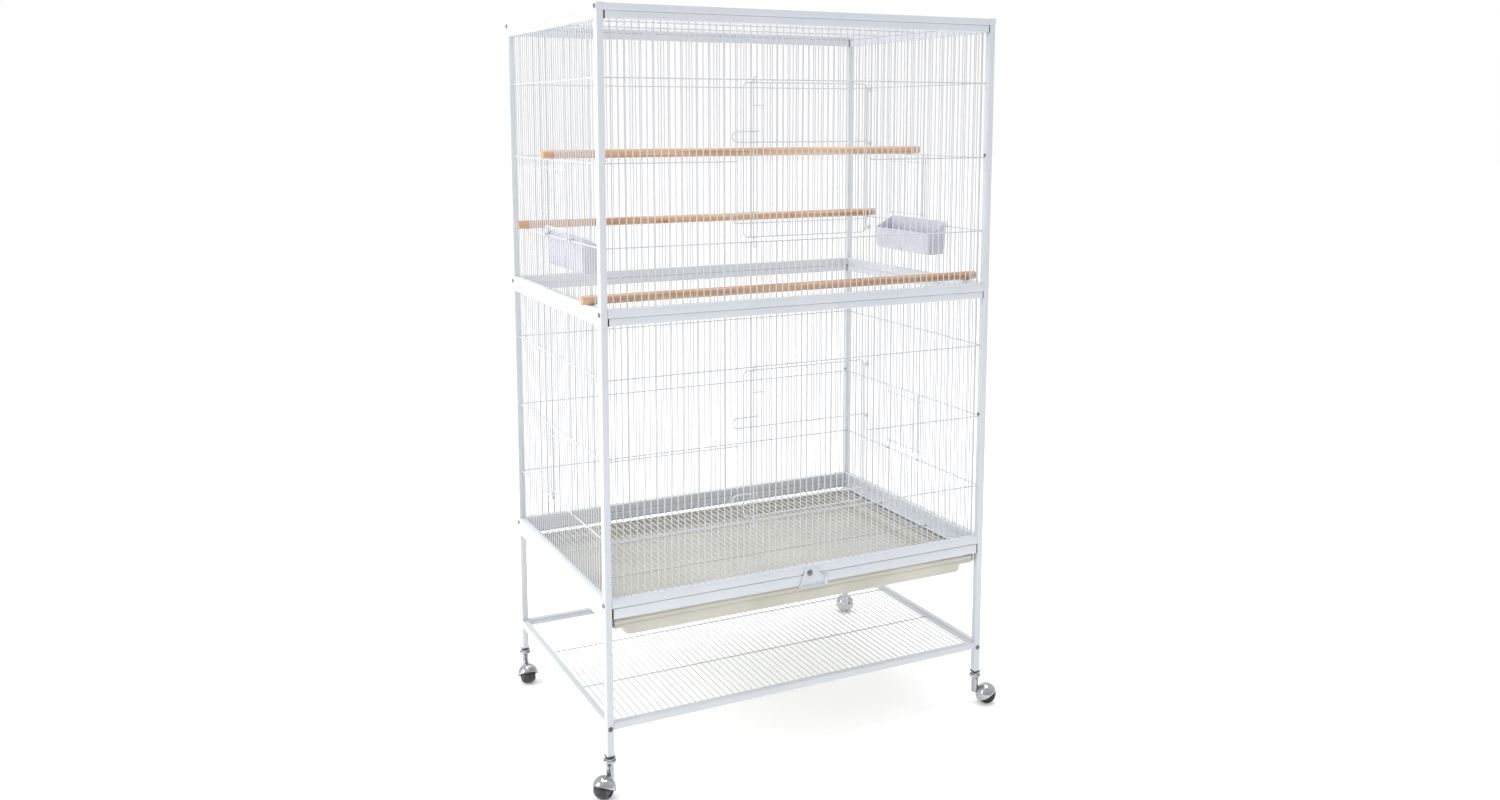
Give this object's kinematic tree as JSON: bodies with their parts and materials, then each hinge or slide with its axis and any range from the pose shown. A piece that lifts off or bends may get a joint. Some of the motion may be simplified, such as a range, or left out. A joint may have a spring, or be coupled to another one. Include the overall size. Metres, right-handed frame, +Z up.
{
  "type": "bird cage on stand",
  "caption": "Tall two-tier wire flight cage on a caster stand with a wire shelf, slide-out tray and grille, hinged doors, perches and seed cups.",
  "frame": {"origin": "middle of the footprint at floor level", "axes": "+X right, +Y back, +Z up; the large doors and the tray front face -Y"},
  "size_m": [0.8507, 0.5832, 1.346],
  "materials": {
    "painted_tube": "smooth white powder coat with a cool cast",
    "painted_wire": "white powder-coated steel wire",
    "tray_plastic": "warm grey vacuum-formed plastic, satin",
    "perch_wood": "raw turned hardwood dowel, matt",
    "cup_plastic": "milky translucent moulded plastic",
    "black_plastic": "black moulded nylon",
    "chrome": "polished chrome plate",
    "dark_screw": "dark zinc screw head",
    "bright_steel": "zinc-plated steel",
    "caster_ball": "black moulded wheel, satin"
  },
  "bodies": {
    "cage": {"leg_front_left": "painted_tube", "leg_front_right": "painted_tube", "leg_back_left": "painted_tube", "leg_back_right": "painted_tube", "base_frame": "painted_tube", "tray_runners": "painted_tube", "shelf_frame": "painted_tube", "shelf_wires": "painted_wire", "lower_left_side_frame": "painted_tube", "lower_left_side_wires": "painted_wire", "lower_right_side_frame": "painted_tube", "lower_right_side_wires": "painted_wire", "lower_front_rails": "painted_tube", "lower_front_wires": "painted_wire", "lower_back_rails": "painted_tube", "lower_back_wires": "painted_wire", "upper_left_side_frame": "painted_tube", "upper_left_side_wires": "painted_wire", "upper_right_side_frame": "painted_tube", "upper_right_side_wires": "painted_wire", "upper_front_rails": "painted_tube", "upper_front_wires": "painted_wire", "upper_back_rails": "painted_tube", "upper_back_wires": "painted_wire", "top_frame": "painted_tube", "top_wires": "painted_wire", "perch_front": "perch_wood", "perch_middle": "perch_wood", "perch_back": "perch_wood", "post_joiners": "black_plastic", "rail_end_caps": "black_plastic", "corner_screws": "dark_screw", "panel_screws": "dark_screw", "caster_stems": "chrome", "caster_plugs": "black_plastic", "caster_washers": "bright_steel"},
    "upper_door": {"upper_front_door": "painted_wire"},
    "upper_door_rod": {"upper_door_latch": "painted_wire"},
    "lower_door": {"lower_front_door": "painted_wire"},
    "lower_door_rod": {"lower_door_latch": "painted_wire"},
    "grille_drawer": {"floor_grille": "painted_wire", "grille_bar": "painted_tube", "grille_bar_caps": "black_plastic", "latch_screw": "dark_screw"},
    "turn_latch": {"grille_latch": "painted_tube"},
    "tray_drawer": {"tray": "tray_plastic"},
    "left_cup": {"seed_cup_left": "cup_plastic"},
    "right_cup": {"seed_cup_right": "cup_plastic"},
    "lower_left_flap": {"lower_left_small_door": "painted_wire"},
    "lower_right_flap": {"lower_right_small_door": "painted_wire"},
    "upper_left_flap": {"upper_left_small_door": "painted_wire"},
    "upper_right_flap": {"upper_right_small_door": "painted_wire"},
    "caster_fork_front_left": {"caster_hood_front_left": "chrome"},
    "caster_ball_front_left": {"caster_wheel_front_left": "caster_ball"},
    "caster_fork_front_right": {"caster_hood_front_right": "chrome"},
    "caster_ball_front_right": {"caster_wheel_front_right": "caster_ball"},
    "caster_fork_back_left": {"caster_hood_back_left": "chrome"},
    "caster_ball_back_left": {"caster_wheel_back_left": "caster_ball"},
    "caster_fork_back_right": {"caster_hood_back_right": "chrome"},
    "caster_ball_back_right": {"caster_wheel_back_right": "caster_ball"}
  },
  "joints": [
    {"name": "lower_front_door_hinge", "type": "hinge", "parent": "cage", "child": "lower_door", "pos_m": [0.127, -0.253, 0.587], "axis": [0, 0, 1], "range_deg": [0, 150]},
    {"name": "lower_door_latch_slide", "type": "slide", "parent": "lower_door", "child": "lower_door_rod", "axis": [0, 0, 1], "range_m": [0, 0.01]},
    {"name": "lower_left_small_door_hinge", "type": "hinge", "parent": "cage", "child": "lower_left_flap", "pos_m": [-0.386, 0.01905, 0.4475], "axis": [0, -1, 0], "range_deg": [0, 130]},
    {"name": "lower_right_small_door_hinge", "type": "hinge", "parent": "cage", "child": "lower_right_flap", "pos_m": [0.386, -0.01905, 0.4475], "axis": [0, 1, 0], "range_deg": [0, 130]},
    {"name": "upper_front_door_hinge", "type": "hinge", "parent": "cage", "child": "upper_door", "pos_m": [0.127, -0.253, 1.0875], "axis": [0, 0, 1], "range_deg": [0, 150]},
    {"name": "upper_door_latch_slide", "type": "slide", "parent": "upper_door", "child": "upper_door_rod", "axis": [0, 0, 1], "range_m": [0, 0.01]},
    {"name": "upper_left_small_door_hinge", "type": "hinge", "parent": "cage", "child": "upper_left_flap", "pos_m": [-0.386, 0.01905, 0.948], "axis": [0, -1, 0], "range_deg": [0, 130]},
    {"name": "upper_right_small_door_hinge", "type": "hinge", "parent": "cage", "child": "upper_right_flap", "pos_m": [0.386, -0.01905, 0.948], "axis": [0, 1, 0], "range_deg": [0, 130]},
    {"name": "floor_grille_slide", "type": "slide", "parent": "cage", "child": "grille_drawer", "axis": [0, -1, 0], "range_m": [0, 0.4]},
    {"name": "turn_latch_pivot", "type": "hinge", "parent": "grille_drawer", "child": "turn_latch", "pos_m": [0.002, -0.2627, 0.336], "axis": [0, -1, 0], "range_deg": [0, 90]},
    {"name": "tray_slide", "type": "slide", "parent": "cage", "child": "tray_drawer", "axis": [0, -1, 0], "range_m": [0, 0.42]},
    {"name": "left_cup_lift", "type": "slide", "parent": "cage", "child": "left_cup", "axis": [0, 0, 1], "range_m": [0, 0.006]},
    {"name": "right_cup_lift", "type": "slide", "parent": "cage", "child": "right_cup", "axis": [0, 0, 1], "range_m": [0, 0.006]},
    {"name": "caster_swivel_front_left", "type": "hinge", "parent": "cage", "child": "caster_fork_front_left", "pos_m": [-0.387, -0.254, 0.05], "axis": [0, 0, 1], "continuous": true},
    {"name": "caster_roll_front_left", "type": "hinge", "parent": "caster_fork_front_left", "child": "caster_ball_front_left", "pos_m": [-0.40409, -0.26939, 0.0195], "axis": [0.6691, -0.7431, 0], "continuous": true},
    {"name": "caster_swivel_front_right", "type": "hinge", "parent": "cage", "child": "caster_fork_front_right", "pos_m": [0.387, -0.254, 0.05], "axis": [0, 0, 1], "continuous": true},
    {"name": "caster_roll_front_right", "type": "hinge", "parent": "caster_fork_front_right", "child": "caster_ball_front_right", "pos_m": [0.40712, -0.26515, 0.0195], "axis": [0.4848, 0.8746, 0], "continuous": true},
    {"name": "caster_swivel_back_left", "type": "hinge", "parent": "cage", "child": "caster_fork_back_left", "pos_m": [-0.387, 0.254, 0.05], "axis": [0, 0, 1], "continuous": true},
    {"name": "caster_roll_back_left", "type": "hinge", "parent": "caster_fork_back_left", "child": "caster_ball_back_left", "pos_m": [-0.389, 0.23109, 0.0195], "axis": [0.9962, -0.0872, 0], "continuous": true},
    {"name": "caster_swivel_back_right", "type": "hinge", "parent": "cage", "child": "caster_fork_back_right", "pos_m": [0.387, 0.254, 0.05], "axis": [0, 0, 1], "continuous": true},
    {"name": "caster_roll_back_right", "type": "hinge", "parent": "caster_fork_back_right", "child": "caster_ball_back_right", "pos_m": [0.3985, 0.27392, 0.0195], "axis": [-0.866, 0.5, 0], "continuous": true}
  ]
}
